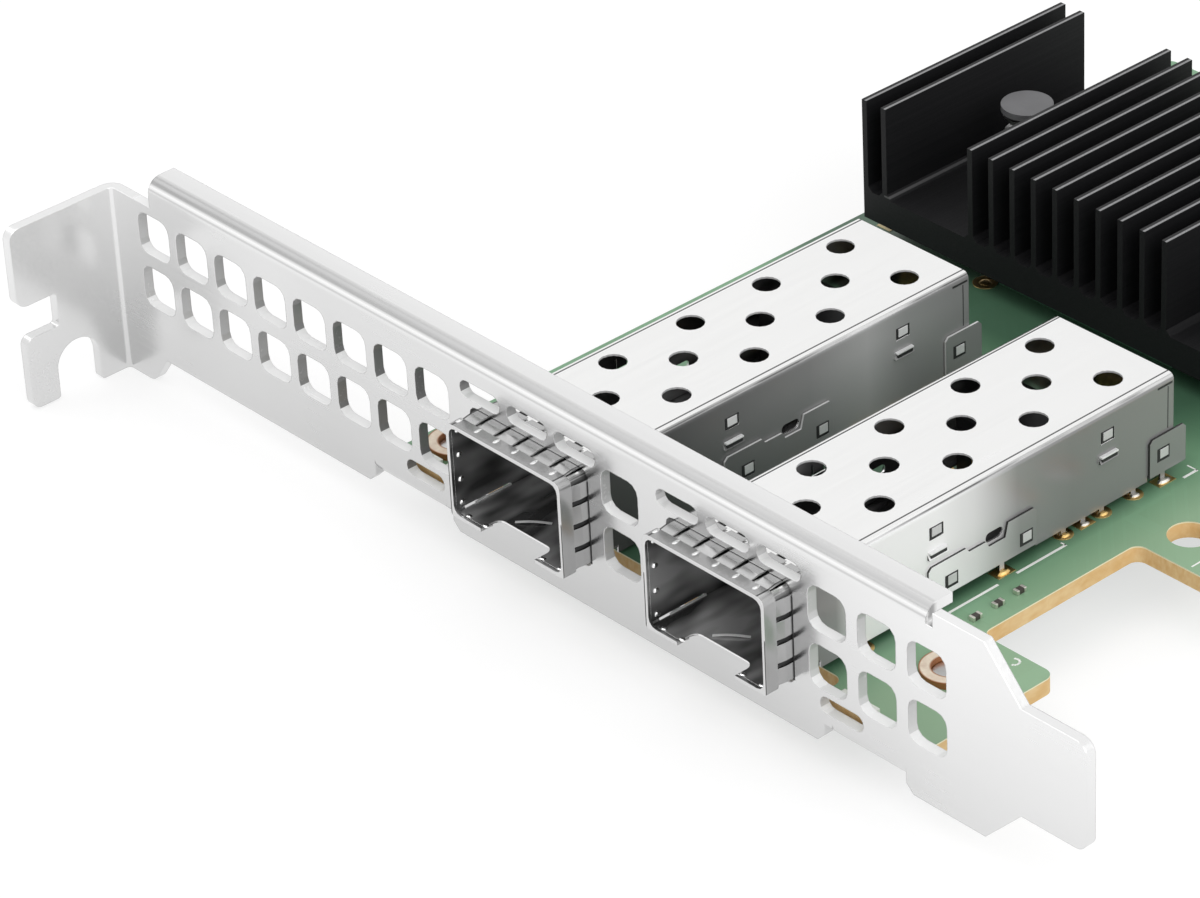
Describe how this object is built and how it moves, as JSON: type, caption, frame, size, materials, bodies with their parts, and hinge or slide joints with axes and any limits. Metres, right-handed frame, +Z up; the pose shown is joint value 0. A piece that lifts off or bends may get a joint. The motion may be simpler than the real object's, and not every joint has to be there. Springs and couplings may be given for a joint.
{
  "type": "network interface card",
  "caption": "Low-profile expansion card with side-by-side cage ports, vented full-height bracket, green board and finned black heatsink.",
  "frame": {"origin": "centre of the tab's screw slot, on the tab face that seats on the chassis", "axes": "+X along the bracket from the tab to the tail, +Y from the bracket to the board's far end, +Z up from the board's component side"},
  "size_m": [0.1201, 0.1096, 0.0214],
  "materials": {
    "bracket_steel": "bright nickel plate over brushed steel",
    "cage_nickel": "satin nickel plate",
    "collar_nickel": "satin nickel plate, spring sheet",
    "screw_steel": "plated",
    "nut_tin": "tin plate, matt",
    "board_green": "green solder mask on glass-epoxy board",
    "contact_gold": "gold plate on copper",
    "heatsink_black": "black anodised",
    "pin_grey": "moulded nylon",
    "spring_steel": "drawn wire",
    "pad_grey": "soft",
    "chip_black": "moulded",
    "chip_green": "laminate",
    "lid_nickel": "satin nickel plate",
    "socket_black": "moulded",
    "lamp_clear": "clear",
    "resistor_dark": "with plated ends",
    "capacitor_tan": "with plated ends",
    "inductor_grey": "pressed iron powder"
  },
  "bodies": {
    "root": {"bracket": "bracket_steel", "bracket_screws": "screw_steel", "board_nuts": "nut_tin", "pcb": "board_green", "edge_contacts": "contact_gold", "heatsink": "heatsink_black", "heatsink_pins": "pin_grey", "heatsink_springs": "spring_steel", "thermal_pad": "pad_grey", "chip_base": "chip_green", "chip_lid": "lid_nickel", "status_leds": "lamp_clear", "resistors": "resistor_dark", "capacitors": "capacitor_tan", "inductors": "inductor_grey", "regulators": "chip_black", "clock_can": "lid_nickel", "flash_chip": "chip_black", "cage_shell_1": "cage_nickel", "cage_tray_1": "cage_nickel", "cage_collar_1": "collar_nickel", "port_socket_1": "socket_black", "socket_contacts_1": "contact_gold", "cage_shell_2": "cage_nickel", "cage_tray_2": "cage_nickel", "cage_collar_2": "collar_nickel", "port_socket_2": "socket_black", "socket_contacts_2": "contact_gold"}
  },
  "joints": []
}
